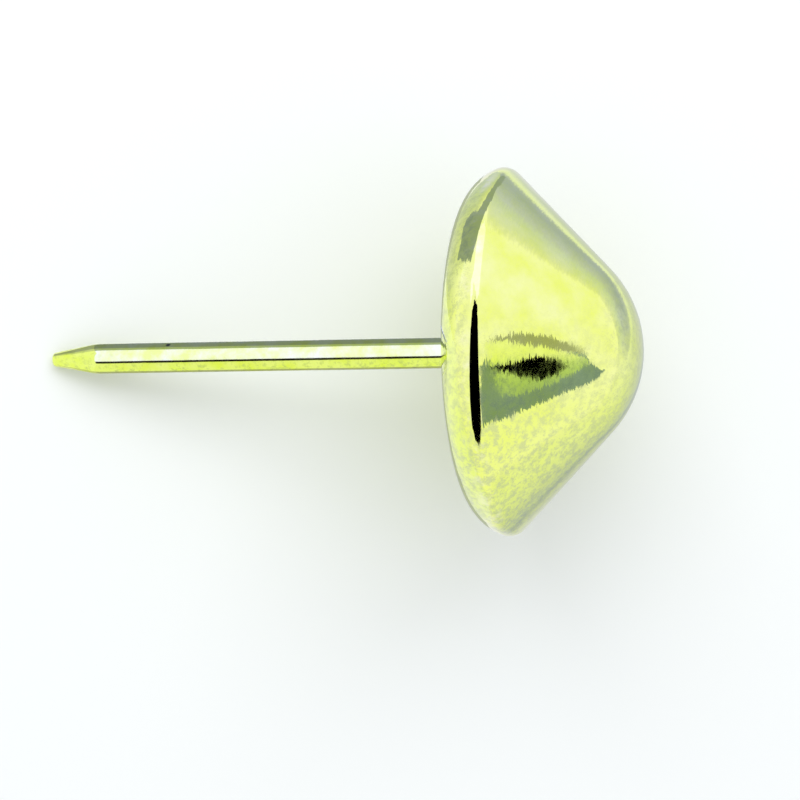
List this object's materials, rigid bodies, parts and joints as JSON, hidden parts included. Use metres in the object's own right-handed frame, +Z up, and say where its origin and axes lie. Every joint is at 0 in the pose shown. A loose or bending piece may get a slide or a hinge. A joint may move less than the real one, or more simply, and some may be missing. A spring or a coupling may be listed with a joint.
{
  "type": "push pin",
  "caption": "Push pin with a pressed brass head shaped as a blunt cone, crimped round a backing cup that carries a straight wire pin with a tapered point.",
  "frame": {"origin": "middle of the box that the lying pin fills, on the table under it", "axes": "+X along the table from the point towards the crown, +Z up from the table; the pin's axis lies in the XZ plane and rises towards the crown"},
  "size_m": [0.019, 0.012, 0.0113],
  "materials": {
    "cap_brass": "polished sheet, bright greenish-yellow, fine orange peel and polishing marks",
    "cup_brass": "plain pressed sheet with fine turning marks, duller than the cap",
    "wire_brass": "drawn wire, bright, with fine lines along its length"
  },
  "bodies": {
    "root": {"head_cap": "cap_brass", "backing_cup": "cup_brass", "pin": "wire_brass"}
  },
  "joints": []
}
